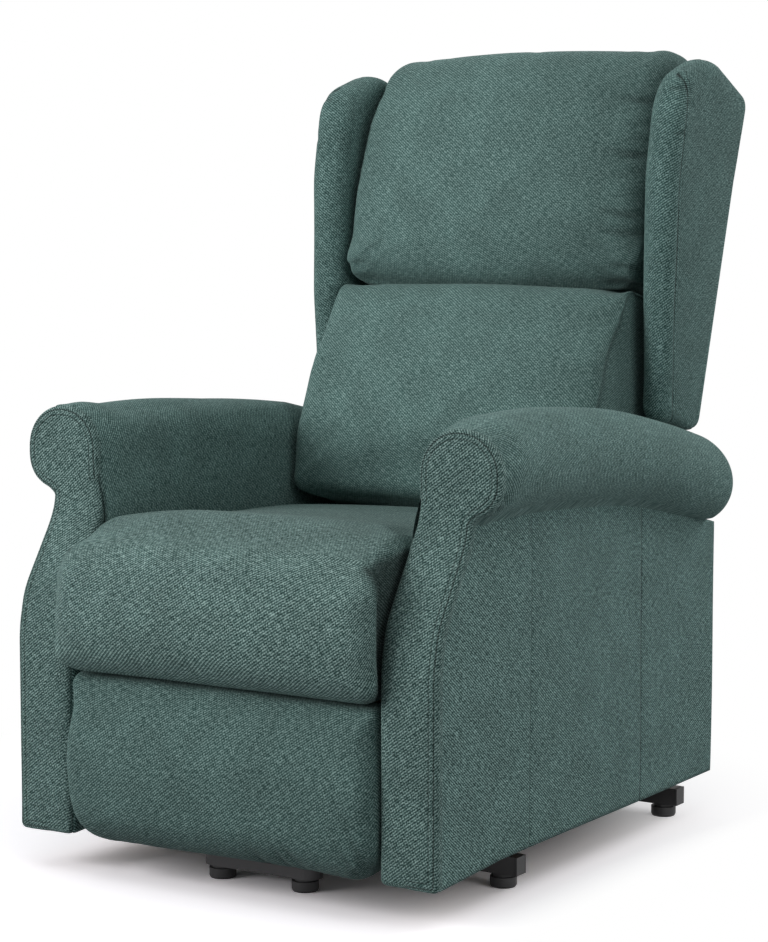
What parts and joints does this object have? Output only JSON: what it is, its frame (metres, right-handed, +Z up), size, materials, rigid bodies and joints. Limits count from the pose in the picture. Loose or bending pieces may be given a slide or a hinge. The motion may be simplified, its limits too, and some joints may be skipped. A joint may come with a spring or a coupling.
{
  "type": "lift recliner",
  "caption": "Powered lift recliner in teal-green tweed with a winged back, scroll arms, padded legrest and black steel lift base.",
  "frame": {"origin": "bottom centre of the whole chair's box with the legrest folded, the back upright and the lift down: x = 0 between the arms, z = 0 on the floor under the feet", "axes": "+Z up; the chair faces -Y; +X towards the arm on a viewer's right who stands in front"},
  "size_m": [0.738, 0.951, 1.0966],
  "materials": {
    "fabric": "dyed, coarse twill weave",
    "black_steel": "black powder coat",
    "bright_steel": "bright zinc plate",
    "spring_wire": "oiled spring wire",
    "chrome_rod": "polished",
    "black_plastic": "fine moulded grain",
    "inlet_plastic": "moulded",
    "button_plastic": "soft touch",
    "timber": "raw sawn pine"
  },
  "bodies": {
    "base": {"base_frame": "black_steel", "front_foot_bar": "black_steel", "tube_end_caps": "black_plastic", "corner_feet": "black_plastic", "front_feet": "black_plastic", "base_pins": "bright_steel", "control_tray": "bright_steel", "control_box": "black_plastic", "power_inlet": "inlet_plastic"},
    "lift_arm": {"lift_arms": "black_steel", "lift_crank_pin": "bright_steel"},
    "lift_link": {"lift_tilt_links": "black_steel"},
    "lift_motor": {"lift_motor_housing": "black_plastic"},
    "lift_rod": {"lift_motor_rod": "chrome_rod"},
    "chassis": {"seat_frame": "black_steel", "seat_side_plates": "black_steel", "chassis_pins": "bright_steel", "seat_side_rails": "timber", "seat_deck_rails": "timber", "seat_springs": "spring_wire", "seat_cushion": "fabric", "right_arm_front": "fabric", "left_arm_front": "fabric", "right_outer_panel": "fabric", "left_outer_panel": "fabric", "right_inner_panel": "fabric", "left_inner_panel": "fabric", "right_arm_roll": "fabric", "left_arm_roll": "fabric", "arm_top_rails": "timber", "arm_bottom_rails": "timber", "rear_cover": "fabric", "handset_pocket": "fabric"},
    "legrest_arm": {"legrest_rear_arms": "black_steel", "legrest_arm_pins": "bright_steel"},
    "legrest_hanger": {"legrest_hangers": "black_steel"},
    "legrest_carrier": {"legrest_carriers": "black_steel", "legrest_carrier_pins": "bright_steel"},
    "legrest_link": {"legrest_tilt_links": "black_steel"},
    "legrest_panel": {"legrest_brackets": "black_steel", "legrest_board": "timber", "legrest_cushion": "fabric"},
    "back": {"back_frame": "black_steel", "back_brackets": "black_steel", "back_pins": "bright_steel", "back_springs": "spring_wire", "back_panel": "fabric", "wing_brackets": "bright_steel", "right_wing": "fabric", "left_wing": "fabric", "head_cushion": "fabric", "lumbar_cushion": "fabric"},
    "drive_link": {"drive_links": "black_steel"},
    "recline_motor": {"recline_motor_housing": "black_plastic"},
    "recline_rod": {"recline_motor_rod": "chrome_rod"},
    "handset": {"handset_case": "black_plastic"},
    "raise_key": {"raise_button": "button_plastic"},
    "lower_key": {"lower_button": "button_plastic"},
    "recline_key": {"recline_button": "button_plastic"},
    "sit_key": {"sit_button": "button_plastic"}
  },
  "joints": [
    {"name": "lift", "type": "hinge", "parent": "base", "child": "lift_arm", "pos_m": [0, -0.184, 0.062], "axis": [1, 0, 0], "range_deg": [0, 56]},
    {"name": "chassis_tilt", "type": "hinge", "parent": "lift_arm", "child": "chassis", "pos_m": [0, 0.129, 0.12], "axis": [1, 0, 0], "range_deg": [-33.6, 0]},
    {"name": "lift_link_turn", "type": "hinge", "parent": "base", "child": "lift_link", "pos_m": [0, -0.12, 0.106], "axis": [1, 0, 0], "range_deg": [0, 50.4]},
    {"name": "lift_motor_turn", "type": "hinge", "parent": "base", "child": "lift_motor", "pos_m": [0, 0.17, 0.09], "axis": [1, 0, 0], "range_deg": [0, 1.9]},
    {"name": "lift_rod_slide", "type": "slide", "parent": "lift_motor", "child": "lift_rod", "axis": [0, -0.9961, 0.0879], "range_m": [0, 0.0555]},
    {"name": "back_recline", "type": "hinge", "parent": "chassis", "child": "back", "pos_m": [0, 0.24, 0.18], "axis": [-1, 0, 0], "range_deg": [0, 35]},
    {"name": "drive_link_turn", "type": "hinge", "parent": "back", "child": "drive_link", "pos_m": [0, 0.1066, 0.1623], "axis": [-1, 0, 0], "range_deg": [-42.6, 0]},
    {"name": "legrest_swing", "type": "hinge", "parent": "chassis", "child": "legrest_arm", "pos_m": [0, -0.2, 0.25], "axis": [-1, 0, 0], "range_deg": [0, 85]},
    {"name": "legrest_hanger_swing", "type": "hinge", "parent": "chassis", "child": "legrest_hanger", "pos_m": [0, -0.26, 0.25], "axis": [-1, 0, 0], "range_deg": [0, 85]},
    {"name": "legrest_carrier_turn", "type": "hinge", "parent": "legrest_arm", "child": "legrest_carrier", "pos_m": [0, -0.14, 0.068], "axis": [-1, 0, 0], "range_deg": [-85, 0]},
    {"name": "legrest_panel_turn", "type": "hinge", "parent": "legrest_carrier", "child": "legrest_panel", "pos_m": [0, -0.372, 0.195], "axis": [-1, 0, 0], "range_deg": [0, 85]},
    {"name": "legrest_link_turn", "type": "hinge", "parent": "legrest_arm", "child": "legrest_link", "pos_m": [0, -0.14, 0.114], "axis": [-1, 0, 0], "range_deg": [-85, 0]},
    {"name": "recline_motor_turn", "type": "hinge", "parent": "chassis", "child": "recline_motor", "pos_m": [0, -0.046, 0.25], "axis": [-1, 0, 0], "range_deg": [0, 2.9]},
    {"name": "recline_rod_slide", "type": "slide", "parent": "recline_motor", "child": "recline_rod", "axis": [0, 0.918, -0.3965], "range_m": [-0.034, 0]},
    {"name": "handset_lift", "type": "slide", "parent": "chassis", "child": "handset", "axis": [0, 0, 1], "range_m": [0, 0.11]},
    {"name": "raise_press", "type": "slide", "parent": "handset", "child": "raise_key", "axis": [1, 0, 0], "range_m": [0, 0.0012], "stiffness_N_per_m": 800},
    {"name": "lower_press", "type": "slide", "parent": "handset", "child": "lower_key", "axis": [1, 0, 0], "range_m": [0, 0.0012], "stiffness_N_per_m": 800},
    {"name": "recline_press", "type": "slide", "parent": "handset", "child": "recline_key", "axis": [1, 0, 0], "range_m": [0, 0.0012], "stiffness_N_per_m": 800},
    {"name": "sit_press", "type": "slide", "parent": "handset", "child": "sit_key", "axis": [1, 0, 0], "range_m": [0, 0.0012], "stiffness_N_per_m": 800}
  ],
  "couplings": [
    {"joint": "chassis_tilt", "follows": "lift", "ratio": -0.6},
    {"joint": "lift_link_turn", "follows": "lift", "ratio": 0.8998},
    {"joint": "lift_motor_turn", "follows": "lift", "ratio": 0.0338},
    {"joint": "lift_rod_slide", "follows": "lift", "m_per_rad": 0.05669},
    {"joint": "drive_link_turn", "follows": "back_recline", "ratio": -1.2171},
    {"joint": "legrest_swing", "follows": "back_recline", "ratio": 2.4286},
    {"joint": "legrest_hanger_swing", "follows": "back_recline", "ratio": 2.4286},
    {"joint": "legrest_carrier_turn", "follows": "back_recline", "ratio": -2.4286},
    {"joint": "legrest_panel_turn", "follows": "back_recline", "ratio": 2.4286},
    {"joint": "legrest_link_turn", "follows": "back_recline", "ratio": -2.4286},
    {"joint": "recline_motor_turn", "follows": "back_recline", "ratio": 0.0822},
    {"joint": "recline_rod_slide", "follows": "back_recline", "m_per_rad": -0.05546}
  ]
}
